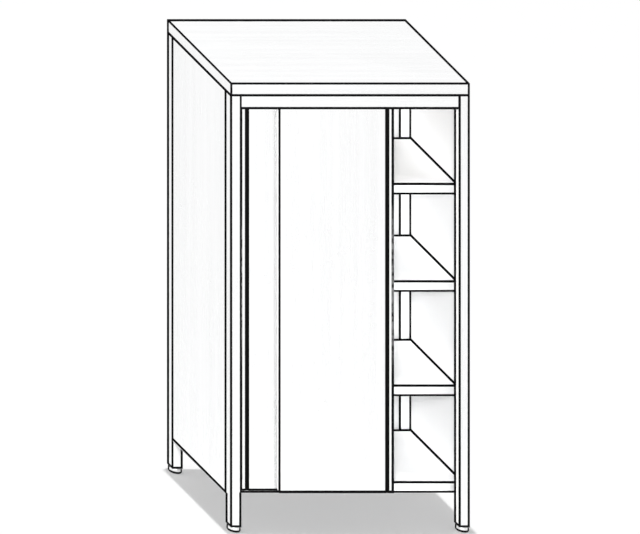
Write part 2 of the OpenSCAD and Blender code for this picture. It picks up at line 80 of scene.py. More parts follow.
def makeCamera(spec, frontY):
    width, height = spec["imageSize"]
    share = spec["depthShare"]
    lens = bpy.data.cameras.new("drawingCamera")
    lens.type = "ORTHO"
    lens.ortho_scale = width / spec["pixelsPerMetre"]
    lens.clip_end = spec["clipEnd"]
    camera = bpy.data.objects.new("drawingCamera", lens)
    anchor = bpy.data.objects.new("cameraAnchor", None)
    for thing in (camera, anchor):
        scene.collection.objects.link(thing)
    middle = Vector(((width / 2 - spec["floorMiddle"][0]) / spec["pixelsPerMetre"], frontY,
                     (spec["floorMiddle"][1] - height / 2) / spec["pixelsPerMetre"]))
    back = Vector((-share, -1, share)).normalized()
    # columns: picture right, picture up, and back along the oblique line of sight
    oblique = Matrix(((1, 0, back.x, 0), (0, 0, back.y, 0), (0, 1, back.z, 0), (0, 0, 0, 1)))
    oblique.translation = middle + back * spec["distance"]
    camera.parent = anchor
    camera.matrix_parent_inverse = oblique
    scene.camera = camera


makeCamera(cameraView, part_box("leg_front_left")[0][1])
print("camera placed")


# node helpers: any node comes from addNode, and maths on sockets is plain arithmetic

def setSockets(tree, node, values):
    for key, value in values.items():
        if isinstance(value, Signal):
            value = value.socket
        if isinstance(value, bpy.types.NodeSocket):
            tree.links.new(value, node.inputs[key])
        else:
            node.inputs[key].default_value = value


def addNode(tree, kind, settings=None, values=None):
    made = tree.nodes.new(kind)
    for key, value in (settings or {}).items():
        setattr(made, key, value)
    setSockets(tree, made, values or {})
    return made


def addStep(tree, kind, values, settings=None):
    # a node whose first output goes on into the next one
    return addNode(tree, kind, settings, values).outputs[0]


class Signal:
    def __init__(self, tree, socket):
        self.tree = tree
        self.socket = socket

    def node(self, kind, settings=None, values=None, out=0):
        return Signal(self.tree, addNode(self.tree, kind, settings, values).outputs[out])

    def maths(self, operation, first, second):
        return self.node("ShaderNodeMath", {"operation": operation}, {0: first, 1: second})

    def __add__(self, other):
        return self.maths("ADD", self, other)

    def __sub__(self, other):
        return self.maths("SUBTRACT", self, other)

    def __rsub__(self, other):
        return self.maths("SUBTRACT", other, self)

    def __mul__(self, other):
        return self.maths("MULTIPLY", self, other)

    def __pow__(self, other):
        return self.maths("POWER", self, other)

    __radd__ = __add__
    __rmul__ = __mul__

    # 0 below low, 1 above high, smooth between
    def rise(self, low, high):
        return self.node("ShaderNodeMapRange", {"interpolation_type": "SMOOTHSTEP"},
                         {"Value": self, "From Min": low, "From Max": high}, "Result")

    def mix(self, first, second):
        return self.node("ShaderNodeMix", {"data_type": "RGBA"},
                         {"Factor": self, 6: first, 7: second}, 2)


def newMaterial(name):
    material = bpy.data.materials.new(name)
    material.use_nodes = True
    tree = material.node_tree
    shader = tree.nodes["Principled BSDF"]
    return material, tree, shader


def objectPlace(tree, scale=(1, 1, 1), attribute=None):
    # a point of the piece in metres, or what one of its vector attributes says, times a scale
    if attribute:
        place = readAttribute(tree, attribute, "Vector")
    else:
        place = Signal(tree, addNode(tree, "ShaderNodeTexCoord").outputs["Object"])
    return place.node("ShaderNodeMapping", None, {"Vector": place, "Scale": scale})


def readAttribute(tree, name, output="Fac"):
    return Signal(tree, addNode(tree, "ShaderNodeAttribute", {"attribute_name": name}).outputs[output])


def splitAxes(place):
    parts = addNode(place.tree, "ShaderNodeSeparateXYZ", None, {0: place}).outputs
    return [Signal(place.tree, part) for part in parts]


def noise(place, scale, detail, roughness):
    return place.node("ShaderNodeTexNoise", None,
                      {"Vector": place, "Scale": scale, "Detail": detail, "Roughness": roughness}, "Fac")


def bumpFrom(height, strength, distance):
    return height.node("ShaderNodeBump", None, {"Strength": strength, "Distance": distance, "Height": height})


def tinted(color, factor=1.0):
    return tuple(min(1, c * factor) for c in color) + (1,)


# finishes: each noise is given by its scale, detail and roughness, and each range by where it starts and ends

steelLook = {
    "metallic": 0.98,
    "roughness": 0.28,
    "streakPerMetre": 620,  # across the grain
    "streakRun": 7,  # along the grain
    "broadShare": 14,  # the broad streaks are this much wider than the fine ones
    "faceShift": (40, 3),  # moves the fine and the broad streaks from one face of a sheet to the next
    "fineStreaks": (1.0, 4.0, 0.62),
    "broadStreaks": (1.0, 3.0, 0.5),
    "fineShare": 0.6,
    "streakRange": (0.3, 0.7),
    "streakDepth": 0.035,  # how much the brushing changes the brightness
    "streakRoughness": 0.14,
    "clouds": (2.3, 3.0, 0.5),
    "cloudRoughness": 0.10,
    "spots": (21.0, 4.0, 0.6),
    "spotRange": (0.60, 0.78),
    "spotRoughness": 0.05,
    "bump": 0.16,
    "bumpDistance": 0.00012,
    "dullMetallic": 0.15,
    "dullRoughness": 0.26,  # added inside, where the sheet has its mill finish
    "paintedInsideLight": (0.985, 0.987, 0.99),  # painted light: inner faces are made paler, to lift them out of the shade inside the cabinet
    "paintedInsideShare": 0.8,
    "lineShadeColor": (0.004, 0.004, 0.0045),  # painted shade along the edges of faces and along seams
    "markRoughness": 0.3,
    "markEnd": (0.98, 1.12),  # a mark fades out over this part of its width
    "uneven": (90.0, 3.0, 0.6),
    "wander": 0.14,  # how much the border of a mark wanders, in its widths
    "seamSoft": 0.3,  # in millimetres
    "seamNeeds": (0.3, 0.5),  # a seam shows only on faces at least this dull
}
handLook = {
    "height": 1.02,  # where a door is usually held
    "spread": (9, 2.6),  # across and up, larger is narrower
    "spreadRange": (0.0, 0.9),
    "patches": (34.0, 4.0, 0.7),
    "patchRange": (0.35, 0.62),
    "share": 0.16,
    "shade": 0.86,
    "roughness": 0.10,
}


def edgeReach(tree):
    # how far a point lies from the nearest edge of its face, in widths of the dark mark along that edge
    low, high = (readAttribute(tree, name, "Vector") for name in ("fromLow", "toHigh"))
    nearest = low.node("ShaderNodeVectorMath", {"operation": "MINIMUM"}, {0: low, 1: high})
    x, y, z = splitAxes(nearest)
    return x.maths("MINIMUM", x.maths("MINIMUM", x, y), z)


def brushing(tree, along):
    # fine streaks and their mix with broad ones, along an axis of a CAD piece or the grain of a sheet
    look = steelLook
    across, run, wider = look["streakPerMetre"], look["streakRun"], look["broadShare"]
    if along:
        grain = None
        fineScale = tuple(run if axis == along else across for axis in "XYZ")
        broadScale = tuple(s / wider for s in fineScale)
    else:
        grain = "grain"
        fineScale = (across, run, look["faceShift"][0])
        broadScale = (across / wider, run / wider, look["faceShift"][1])
    fine = noise(objectPlace(tree, fineScale, grain), *look["fineStreaks"])
    broad = noise(objectPlace(tree, broadScale, grain), *look["broadStreaks"])
    return fine, fine * look["fineShare"] + broad * (1 - look["fineShare"])


def paintedLineShade(tree, dull, seam):
    # painted shade: a dark line along each edge of a face, standing in for the shade at bends and in the gaps
    # between parts, with a slightly uneven border
    look = steelLook
    wander = (noise(objectPlace(tree), *look["uneven"]) - 0.5) * look["wander"]
    lineShade = 1 - (edgeReach(tree) + wander).rise(*look["markEnd"])
    if seam:  # painted shade: inside, a dark line follows every shelf's top where it meets a wall, from so far to so far above it
        height = splitAxes(objectPlace(tree))[2]
        soft = look["seamSoft"] * mm
        for level in shelfTops:
            start, end = (level + reach * mm for reach in seam)
            line = height.rise(start - soft, start + soft) * (1 - height.rise(end - soft, end + soft))
            lineShade = lineShade.maths("MAXIMUM", lineShade, line * dull.rise(*look["seamNeeds"]))
    return lineShade


def touchedPart(tree, spot):
    # 1 where fingers leave the sheet a little duller, beside a grip
    look = handLook
    x, y, z = splitAxes(objectPlace(tree))
    reach = ((x - spot[0]) * look["spread"][0]) ** 2.0 + ((z - spot[1]) * look["spread"][1]) ** 2.0
    patches = noise(objectPlace(tree), *look["patches"])
    return (1 - reach).rise(*look["spreadRange"]) * patches.rise(*look["patchRange"])


def brushedSteel(name, color, along=None, handledAt=None, roughness=steelLook["roughness"], seam=None):
    look = steelLook
    material, tree, shader = newMaterial(name)
    fine, bright = brushing(tree, along)
    clouds = noise(objectPlace(tree), *look["clouds"])
    spots = noise(objectPlace(tree), *look["spots"]).rise(*look["spotRange"])
    depth = look["streakDepth"]
    shade = bright.rise(*look["streakRange"]).mix(tinted(color, 1 - depth), tinted(color, 1 + depth))
    rough = roughness + (bright - 0.5) * look["streakRoughness"] + (clouds - 0.5) * look["cloudRoughness"]
    rough = rough + spots * look["spotRoughness"]
    metal = look["metallic"]
    if not along:  # a sheet or tube of this script, with its marks and its dull inner faces
        dull = readAttribute(tree, "dull")
        lineShade = paintedLineShade(tree, dull, seam)
        # painted light: the dull inner faces take a paler colour, against the shade inside the cabinet
        shade = (dull * look["paintedInsideShare"]).mix(shade, tinted(look["paintedInsideLight"]))
        # painted shade: dark lines along the edges of each face and along the shelf seams
        shade = lineShade.mix(shade, tinted(look["lineShadeColor"]))
        rough = rough + dull * look["dullRoughness"] + lineShade * look["markRoughness"]
        metal = (metal - dull * (metal - look["dullMetallic"])) * (1 - lineShade)
    if handledAt:
        touched = touchedPart(tree, handledAt)
        shade = (touched * handLook["share"]).mix(shade, tinted(color, handLook["shade"]))
        rough = rough + touched * handLook["roughness"]
    setSockets(tree, shader, {"Base Color": shade, "Metallic": metal, "Roughness": rough,
                              "Specular IOR Level": 0.0,
                              "Normal": bumpFrom(fine, look["bump"], look["bumpDistance"])})
    return material


turnedLook = {
    "ringScale": (3, 3, 2400),  # rings round the axis, from the cutter
    "rings": (1.0, 2.0, 0.5),
    "clouds": (60.0, 3.0, 0.5),
    "ringShare": 0.7,
    "shadeRange": (0.3, 0.7),
    "shades": (0.92, 1.06),
    "ringRoughness": 0.12,
    "cloudRoughness": 0.06,
    "bump": 0.25,
    "bumpDistance": 0.0001,
    "rimWander": 0.001,  # how much the border of the rim's painted shade wanders, in metres
    "rimRange": (0.9, 1.1),  # in heights of that mark
    "fluteWander": 0.1,  # the same for a flute, in its half widths
    "fluteRange": (0.85, 1.15),
}


def turnedSteel(name, color, metallic=1.0, rimShade=0.0, roughness=0.24):
    look = turnedLook
    material, tree, shader = newMaterial(name)
    rings = noise(objectPlace(tree, look["ringScale"]), *look["rings"])
    clouds = noise(objectPlace(tree), *look["clouds"])
    dark, light = (tinted(color, factor) for factor in look["shades"])
    bright = rings * look["ringShare"] + clouds * (1 - look["ringShare"])
    shade = bright.rise(*look["shadeRange"]).mix(dark, light)
    rough = roughness + rings * look["ringRoughness"] + clouds * look["cloudRoughness"]
    if rimShade:  # painted shade: dark where the cup meets the floor, and in its flutes
        height = splitAxes(objectPlace(tree))[2]
        start, end = (rimShade * share for share in look["rimRange"])
        above = (height + (clouds - 0.5) * look["rimWander"]).rise(start, end)
        flute = readAttribute(tree, "flute") + (clouds - 0.5) * look["fluteWander"]
        paintedFootShade = 1 - above * flute.rise(*look["fluteRange"])
        shade = paintedFootShade.mix(shade, tinted(steelLook["lineShadeColor"]))
        metallic = metallic * (1 - paintedFootShade)
    setSockets(tree, shader, {"Base Color": shade, "Metallic": metallic, "Roughness": rough,
                              "Specular IOR Level": 0.0,
                              "Normal": bumpFrom(rings, look["bump"], look["bumpDistance"])})
    return material


plasticLook = {
    "grainDetail": (2.0, 0.6),
    "grainShade": 0.2,
    "grainRoughness": 0.1,
    "wearScale": (1, 1, 0.25),  # scuffs run up and down
    "wear": (45.0, 4.0, 0.65),
    "wearRange": (0.5, 0.75),
    "wearShade": 0.5,
    "wearRoughness": 0.08,
    "paler": (1.6, 0.004),  # where it is worn: times this, plus this
    "bumpDistance": 0.00015,
}


def mouldedPlastic(name, color, roughness, grainPerMetre=1500, bump=0.25, scuffs=0.5, shine=0.5):
    look = plasticLook
    material, tree, shader = newMaterial(name)
    grain = noise(objectPlace(tree), grainPerMetre, *look["grainDetail"])
    wear = noise(objectPlace(tree, look["wearScale"]), *look["wear"]).rise(*look["wearRange"])
    times, plus = look["paler"]
    paler = tinted([c * times + plus for c in color])
    shade = (wear * scuffs * look["wearShade"] + grain * look["grainShade"]).mix(tinted(color), paler)
    rough = roughness + wear * look["wearRoughness"] + (grain - 0.5) * look["grainRoughness"]
    setSockets(tree, shader, {"Base Color": shade, "Roughness": rough, "Specular IOR Level": shine,
                              "Normal": bumpFrom(grain, bump, look["bumpDistance"])})
    return material


boardLook = {
    "chipScale": (1, 0.45, 2.5),
    "chipShare": 0.9,
    "grain": (420.0, 4.0, 0.6),
    "grainShare": 0.4,
    "shadeRange": (0.25, 0.95),
    "roughness": 0.72,
    "grainRoughness": 0.15,
    "bump": 0.3,
    "bumpDistance": 0.0003,
}


def pressedBoard(name, dark, light, chipPerMetre):
    look = boardLook
    material, tree, shader = newMaterial(name)
    place = objectPlace(tree, look["chipScale"])
    chips = place.node("ShaderNodeTexVoronoi", {"feature": "F1"},
                       {"Vector": place, "Scale": chipPerMetre, "Randomness": 1.0}, "Distance")
    grain = noise(objectPlace(tree), *look["grain"])
    bright = (chips * look["chipShare"] + grain * look["grainShare"]).rise(*look["shadeRange"])
    setSockets(tree, shader, {"Base Color": bright.mix(tinted(dark), tinted(light)),
                              "Roughness": look["roughness"] + grain * look["grainRoughness"],
                              "Normal": bumpFrom(chips, look["bump"], look["bumpDistance"])})
    return material


def gripSpot(door):
    low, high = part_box(door + "_grip")
    return (low[0] + high[0]) / 2, handLook["height"]


rolledColor = (0.66, 0.67, 0.68)
shelves = {"base_shelf": "baseShelf", "shelf_lower": "lowerShelf", "shelf_middle": "middleShelf",
           "shelf_upper": "upperShelf"}
shelfTops = [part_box(node)[1][2] for node in shelves]
# painted light and shade: these are one stainless steel, given a slightly different tone piece by piece so
# that each renders at the wanted brightness under these lamps; the side, back and shelf sheets, which face
# the shaded inside, are the palest
legSteel = brushedSteel("legSteel", (0.915, 0.918, 0.921))
# seam gives painted shade lines where the shelves meet the rear legs, the side panels and the back
rearLegSteel = brushedSteel("rearLegSteel", (0.915, 0.918, 0.921), seam=(-3, 4))
topSteel = brushedSteel("topSteel", (0.925, 0.928, 0.931))
sideSteel = brushedSteel("sideSteel", (0.94, 0.943, 0.946), seam=(-3.5, 4.6))
backSteel = brushedSteel("backSteel", (0.94, 0.943, 0.946), seam=(-12, -4))
shelfSteel = brushedSteel("shelfSteel", (0.94, 0.943, 0.946))
headerSteel = brushedSteel("headerSteel", (0.92, 0.923, 0.926))
frontDoorSteel = brushedSteel("frontDoorSteel", (0.93, 0.933, 0.936), handledAt=gripSpot("front_door"))
rearDoorSteel = brushedSteel("rearDoorSteel", (0.915, 0.918, 0.921), handledAt=gripSpot("rear_door"))
doorBackSteel = brushedSteel("doorBackSteel", (0.77, 0.78, 0.79), along="Z")
sectionSteelX = brushedSteel("sectionSteelX", rolledColor, along="X", roughness=0.42)
sectionSteelY = brushedSteel("sectionSteelY", rolledColor, along="Y", roughness=0.42)
plateSteel = brushedSteel("plateSteel", rolledColor, along="Z", roughness=0.38)
footSteel = turnedSteel("footSteel", (0.92, 0.923, 0.926), metallic=0.9, rimShade=0.0095)
screwSteel = turnedSteel("screwSteel", rolledColor)
gripBlack = mouldedPlastic("gripBlack", (0.003, 0.003, 0.003), 0.7, shine=0.02)
plugGrey = mouldedPlastic("plugGrey", (0.10, 0.10, 0.105), 0.5)
nylonWhite = mouldedPlastic("nylonWhite", (0.78, 0.77, 0.72), 0.38, grainPerMetre=900, bump=0.1, scuffs=0.1)
stopRubber = mouldedPlastic("stopRubber", (0.03, 0.03, 0.03), 0.75, grainPerMetre=700, bump=0.4, scuffs=0.3)
boardBrown = pressedBoard("boardBrown", (0.36, 0.26, 0.16), (0.66, 0.53, 0.36), 160)
combBrown = pressedBoard("combBrown", (0.45, 0.35, 0.22), (0.70, 0.58, 0.42), 110)
print("finishes made")


# mesh helpers

weldReach = 1e-6


def inMm(node):
    low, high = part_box(node)
    return [v / mm for v in low], [v / mm for v in high]


def camelName(node):
    first, *others = node.split("_")
    return first + "".join(word.title() for word in others)


def meshFrom(name, shell):
    mesh = bpy.data.meshes.new(name)
    shell.to_mesh(mesh)
    shell.free()
    return mesh


def linkObject(name, mesh):
    made = bpy.data.objects.new(name, mesh)
    scene.collection.objects.link(made)
    return made


def markGrain(mesh, along, dull):
    # where each face corner lies on the flat sheet, with the grain along the second axis
    mesh.attributes.new("grain", "FLOAT_VECTOR", "CORNER")
    mesh.attributes.new("dull", "FLOAT", "FACE")
    grain = mesh.attributes["grain"]
    axis = "XYZ".index(along)
    spare = 0 if axis == 2 else 2
    for face in mesh.polygons:
        main = max(range(3), key=lambda k: abs(face.normal[k]))
        run = axis if main != axis else spare
        across = 3 - main - run
        for corner in face.loop_indices:
            place = mesh.vertices[mesh.loops[corner].vertex_index].co
            grain.data[corner].vector = (place[across], place[run], place[main])
    if dull:
        flags = [float(dull(face.center, face.normal)) for face in mesh.polygons]
        mesh.attributes["dull"].data.foreach_set("value", flags)


# how wide the painted shade line is along the four edges of a face, in millimetres: low and high end of its
# first axis, then of its second; a piece has its own for the faces that the drawing shows
plainMarks = (6.0, 6.0, 6.0, 6.0)
farOff = 99.0  # an edge without a mark counts as this many widths away
# under the doors and panels a leg stands free, and its "low" marks are wider; they begin a little above
lowMarkRise = {"-Y": 6.0, "-X": 9.0}
freeBelow = {"-Y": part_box("front_door_skin")[0][2] + lowMarkRise["-Y"] * mm,
             "-X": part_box("side_panel_left")[0][2] + lowMarkRise["-X"] * mm}


def markEdges(mesh, marks, bare):
    # each face corner's distance from the low and high edges of its face, counted in widths of the mark there
    places = np.array([tuple(v.co) for v in mesh.vertices])
    low, high = places.min(axis=0), places.max(axis=0)
    fromLow = np.full((len(mesh.loops), 3), farOff)
    toHigh = fromLow.copy()
    for face in mesh.polygons:
        main = max(range(3), key=lambda k: abs(face.normal[k]))
        if bare and bare(face.center, face.normal):
            continue
        side = ("-" if face.normal[main] < 0 else "+") + "XYZ"[main]
        widths = marks.get(side, plainMarks)
        if face.center.z < freeBelow.get(side, 0):
            widths = marks.get(side + " low", widths)
        axes = [k for k in range(3) if k != main]
        for corner in face.loop_indices:
            place = places[mesh.loops[corner].vertex_index]
            for n, k in enumerate(axes):
                if widths[2 * n]:
                    fromLow[corner, k] = (place[k] - low[k]) / (widths[2 * n] * mm)
                if widths[2 * n + 1]:
                    toHigh[corner, k] = (high[k] - place[k]) / (widths[2 * n + 1] * mm)
    for name, reach in (("fromLow", fromLow), ("toHigh", toHigh)):
        mesh.attributes.new(name, "FLOAT_VECTOR", "CORNER")
        mesh.attributes[name].data.foreach_set("vector", reach.ravel())


def finishPiece(name, mesh, material, body, replaced, along="Z", sharpAt=34, dull=None, marks=None,
                bare=None):
    solid = bmesh.new()
    solid.from_mesh(mesh)
    bmesh.ops.remove_doubles(solid, verts=solid.verts, dist=weldReach)
    if solid.calc_volume(signed=True) < 0:
        bmesh.ops.reverse_faces(solid, faces=solid.faces)
    solid.to_mesh(mesh)
    solid.free()
    mesh.materials.clear()
    mesh.materials.append(material)
    mesh.shade_smooth()
    mesh.set_sharp_from_angle(angle=math.radians(sharpAt))
    markGrain(mesh, along, dull)
    if marks is not None:
        markEdges(mesh, marks, bare)
    piece = linkObject(name, mesh)
    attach(piece, body)
    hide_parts(*replaced)


# the inner faces of the cabinet are duller than the outer ones, and those that look forward a little less so;
# the same share sets how much of the painted paler colour they take
dullLook = {"step": 2.0, "wall": 1.6, "legFront": 0.52, "shelfFront": 0.5}
topLow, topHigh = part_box("top_pan")
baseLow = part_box("base_shelf")[0]


def looksForward(middle, normal):
    return normal.y < -0.5


def looksLeft(middle, normal):
    return normal.x < -0.5


def facesInside(middle, normal):
    # a small step ahead of the face is still inside the cabinet's walls
    ahead = middle + normal * dullLook["step"] * mm
    wall = dullLook["wall"] * mm
    return all(topLow[k] + wall < ahead[k] < topHigh[k] - wall for k in (0, 1)) and baseLow[2] < ahead.z


def facesAcrossInside(middle, normal):
    return abs(normal.x) > 0.5 and facesInside(middle, normal)


def dullInside(middle, normal):
    return facesInside(middle, normal) * (dullLook["legFront"] if looksForward(middle, normal) else 1.0)


def dullLeg(middle, normal):
    return dullInside(Vector((middle.x, middle.y, topLow[2] / 2)), normal)  # the same all the way down


def dullShelf(middle, normal):
    return dullLook["shelfFront"] if looksForward(middle, normal) else 1.0


def joinMeshes(name, meshes):
    joined = bmesh.new()
    for part in meshes:
        joined.from_mesh(part)
        bpy.data.meshes.remove(part)
    return meshFrom(name, joined)


def bevelledBlock(low, high, bevel=0.2):
    # sizes in millimetres
    block = bmesh.new()
    bmesh.ops.create_cube(block, size=1)
    size = (Vector(high) - Vector(low)) * mm
    middle = (Vector(high) + Vector(low)) / 2 * mm
    for corner in block.verts:
        corner.co = Vector([c * s for c, s in zip(corner.co, size)]) + middle
    bmesh.ops.bevel(block, geom=block.edges[:], offset=bevel * mm, segments=1, profile=0.5, affect="EDGES")
    return meshFrom("block", block)


def arc(middle, radius, start, end, steps):
    # points on an arc, angles in degrees
    turns = [math.radians(start + (end - start) * i / steps) for i in range(steps + 1)]
    return [(middle[0] + radius * math.cos(t), middle[1] + radius * math.sin(t)) for t in turns]


def roundedRing(low, high, inset, radius, steps):
    points = []
    for k, (x, y) in enumerate(((high[0], high[1]), (low[0], high[1]), (low[0], low[1]), (high[0], low[1]))):
        sx, sy = (1 if x == high[0] else -1), (1 if y == high[1] else -1)
        middle = (x - sx * (inset + radius), y - sy * (inset + radius))
        points += arc(middle, radius, 90 * k, 90 * k + 90, steps)
    return points


def loftRings(rings, closed=False, splitCaps=False):
    # rings of (x, y, z) in millimetres, all with as many points; the ends are capped unless the run is closed
    shell = bmesh.new()
    loops = [[shell.verts.new((x * mm, y * mm, z * mm)) for x, y, z in ring] for ring in rings]
    count = len(loops[0])
    for a, b in zip(loops, loops[1:] + (loops[:1] if closed else [])):
        for i in range(count):
            j = (i + 1) % count
            shell.faces.new((a[i], a[j], b[j], b[i]))
    if not closed:
        shell.faces.new(loops[0][::-1])
        shell.faces.new(loops[-1])
    if splitCaps:
        bmesh.ops.triangulate(shell, faces=[face for face in shell.faces if len(face.verts) > 4])
    return meshFrom("loft", shell)


def loftLevels(low, high, levels, steps, closed=False):
    # rings of a box with round corners, each given by its inset, its corner radius and its height
    return loftRings([[(x, y, z) for x, y in roundedRing(low, high, inset, radius, steps)]
                      for inset, radius, z in levels], closed)


# a sheet folded along parallel lines: its section is a line with rounded corners, drawn out to a length

def startTree(name, inputs):
    # a tree with these inputs, each with its kind, and one geometry as its result
    tree = bpy.data.node_groups.new(name, "GeometryNodeTree")
    for label, kind in inputs.items():
        tree.interface.new_socket(label, in_out="INPUT", socket_type="NodeSocket" + kind)
    tree.interface.new_socket("Geometry", in_out="OUTPUT", socket_type="NodeSocketGeometry")
    return tree, addNode(tree, "NodeGroupInput").outputs


def endTree(tree, geometry, finish):
    real = addStep(tree, "GeometryNodeRealizeInstances", {"Geometry": geometry})
    dressed = addStep(tree, "GeometryNodeSetMaterial", {"Geometry": real, "Material": finish})
    addNode(tree, "NodeGroupOutput", None, {"Geometry": dressed})


def foldedSheetTree():
    tree, source = startTree("foldedSheet", {"Section": "Geometry", "Sheet": "Float", "Length": "Float",
                                             "Bend": "Float", "Steps": "Int", "Finish": "Material"})
    line = addStep(tree, "GeometryNodeMeshToCurve", {"Mesh": source["Section"]})
    rounded = addStep(tree, "GeometryNodeFilletCurve", {"Curve": line, "Count": source["Steps"],
                                                        "Radius": source["Bend"], "Limit Radius": True},
                      {"mode": "POLY"})
    upright = addStep(tree, "GeometryNodeSetCurveNormal", {"Curve": rounded}, {"mode": "Z_UP"})
    strip = addStep(tree, "GeometryNodeCurvePrimitiveQuadrilateral",
                    {"Width": source["Sheet"], "Height": source["Length"]}, {"mode": "RECTANGLE"})
    swept = addStep(tree, "GeometryNodeCurveToMesh",
                    {"Curve": upright, "Profile Curve": strip, "Fill Caps": True})
    endTree(tree, swept, source["Finish"])
    return tree


def runTree(tree, mesh, values):
    holder = linkObject("treeHolder", mesh)
    modifier = holder.modifiers.new("tree", "NODES")
    modifier.node_group = tree
    for item in tree.interface.items_tree:
        if item.in_out == "INPUT" and item.name in values:
            modifier[item.identifier] = values[item.name]
    bpy.context.view_layer.update()
    seen = holder.evaluated_get(bpy.context.evaluated_depsgraph_get())
    made = bpy.data.meshes.new_from_object(seen)
    bpy.data.objects.remove(holder)
    return made


sheetTree = foldedSheetTree()
alongX = Matrix(((0, 0, 1, 0), (1, 0, 0, 0), (0, 1, 0, 0), (0, 0, 0, 1)))  # section in Y and Z
alongZ = Matrix.Identity(4)  # section in X and Y


def foldSheet(section, sheet, bend, span, turn, finish, steps=4):
    # section and sizes in millimetres, span the two ends along the length
    line = bpy.data.meshes.new("section")
    line.from_pydata([(a * mm, b * mm, 0) for a, b in section],
                     [(i, i + 1) for i in range(len(section) - 1)], [])
    made = runTree(sheetTree, line, {"Sheet": sheet * mm, "Length": (span[1] - span[0]) * mm,
                                     "Bend": bend * mm, "Steps": steps, "Finish": finish})
    made.transform(turn @ Matrix.Translation((0, 0, (span[0] + span[1]) / 2 * mm)))
    return made


# top, base and shelves: each one sheet with four ground corners, folded down and back under

topLook = {"sheet": 1.2, "bend": 3.0, "lowerBend": 2.0, "corner": 3.0, "returnWidth": 30.0,
           "marks": {"-Y": (6, 10, 6.6, 6), "-X": (6, 17, 6.8, 6), "+Z": (6, 14.6, 6, 20)}}
shelfLook = {"sheet": 0.8, "bend": 2.0, "lowerBend": 1.6, "corner": 1.2, "returnWidth": 12.0,
             "marks": {"-Y": (6, 6, 8.9, 5.2), "+Z": (6, 7.4, 9.2, 8.6)}}
panSteps = {"outerBend": 5, "outerLower": 4, "inner": 3, "corner": 4}
smallestCorner = 0.15


def foldPan(low, high, look):
    # from the middle of the underside out to the return flange, round it and up over the outside
    sheet, bend, lower, corner = look["sheet"], look["bend"], look["lowerBend"], look["corner"]
    z0, z1 = low[2], high[2]
    bendAt, lowerAt = (bend, z1 - bend), (lower, z0 + lower)
    inside = [(bend, z1 - sheet)] + arc(bendAt, bend - sheet, 90, 180, panSteps["inner"])
    inside += arc(lowerAt, lower - sheet, 180, 270, panSteps["inner"]) + [(look["returnWidth"], z0 + sheet)]
    outside = [(look["returnWidth"], z0)] + arc(lowerAt, lower, 270, 180, panSteps["outerLower"])
    outside += arc(bendAt, bend, 180, 90, panSteps["outerBend"])
    levels = [(inset, max(corner - inset, smallestCorner), z) for inset, z in inside + outside]
    return loftLevels(low, high, levels, panSteps["corner"])


finishPiece("topPan", foldPan(*inMm("top_pan"), topLook), topSteel, "cabinet",
            ["top_pan"], along="X", marks=topLook["marks"])
for node, label in shelves.items():
    finishPiece(label, foldPan(*inMm(node), shelfLook), shelfSteel, "cabinet", [node],
                along="X", dull=dullShelf, marks=shelfLook["marks"])
print("top and shelves made")


# legs: drawn square tube

corners = ("front_left", "front_right", "rear_left", "rear_right")
legLook = {"radius": 3.0, "innerRadius": 1.875, "wall": 1.5, "steps": 5}
legMarks = {
    "front_left": {"-Y": (5.2, 8.1, 7.6, 3.4), "-X": (8.2, 10.5, 9, 6),
                   "-Y low": (5.2, 10.6, 7.6, 3.4), "-X low": (8.2, 18.5, 9, 6)},
    "front_right": {"-Y": (5.9, 10.4, 7.6, 3.4), "-X": (7.7, 19.2, 9, 6)},
    "rear_left": {"-Y": (4.7, 10.3, 7.6, 3.4), "-X": (7.4, 19, 9, 6)},
    "rear_right": {"-Y": (0, 10, 7.6, 3.4), "-X": (15, 6, 9, 6)},
}


def squareTube(low, high, look):
    # up the outside, with a ring where the low marks begin, and down the inside
    cuts = sorted(z / mm for z in freeBelow.values())
    outer = [(0, look["radius"], z) for z in [low[2]] + cuts + [high[2]]]
    inner = [(look["wall"], look["innerRadius"], z) for z in (high[2], low[2])]
    return loftLevels(low, high, outer + inner, look["steps"], closed=True)


for corner in corners:
    node = "leg_" + corner
    finishPiece(camelName(node), squareTube(*inMm(node), legLook),
                rearLegSteel if "rear" in corner else legSteel,
                "cabinet", [node], dull=dullLeg, marks=legMarks[corner])
print("legs made")


# header, side panels and back panel: folded sheets

headerLook = {"sheet": 1.5, "bend": 1.5, "hem": 12.0, "hemGap": 0.02, "steps": 6,
              "marks": {"-Y": (0, 4.6, 10.6, 3.6)}}
panelLook = {"sheet": 0.8, "bend": 1.6, "fold": 10.0,
             "marks": {"-X": (6.5, 7.2, 12.4, 6.8), "+X": (6.5, 7.2, 12.4, 6.8), "-Y": (0, 10.2, 6, 6)}}
backLook = {"sheet": 0.8, "bend": 1.6, "lipGap": 1.4, "lipInset": 1.6}


def makeHeader(look):
    low, high = inMm("header")
    half = look["sheet"] / 2
    outer, gap = low[1] + half, look["hemGap"]
    inner = outer + look["sheet"] + gap
    section = [(inner, low[2] + look["hem"]), (inner, low[2] + half), (outer, low[2] + half),
               (outer, high[2] - half), (high[1], high[2] - half)]
    mesh = foldSheet(section, look["sheet"] - gap, look["bend"], (low[0], high[0]), alongX, headerSteel,
                     look["steps"])
    finishPiece("header", mesh, headerSteel, "cabinet", ["header"], along="X",
                marks=look["marks"])


def makeSidePanel(node, side, look):
    low, high = inMm(node)
    half = look["sheet"] / 2
    outer = (high[0] - half) if side > 0 else (low[0] + half)
    end = outer - side * (look["fold"] - half)
    section = [(end, low[1] + half), (outer, low[1] + half), (outer, high[1] - half), (end, high[1] - half)]
    mesh = foldSheet(section, look["sheet"], look["bend"], (low[2], high[2]), alongZ, sideSteel)
    label = "rightPanel" if side > 0 else "leftPanel"
    finishPiece(label, mesh, sideSteel, "cabinet", [node], dull=dullInside,
                marks=look["marks"], bare=facesAcrossInside)


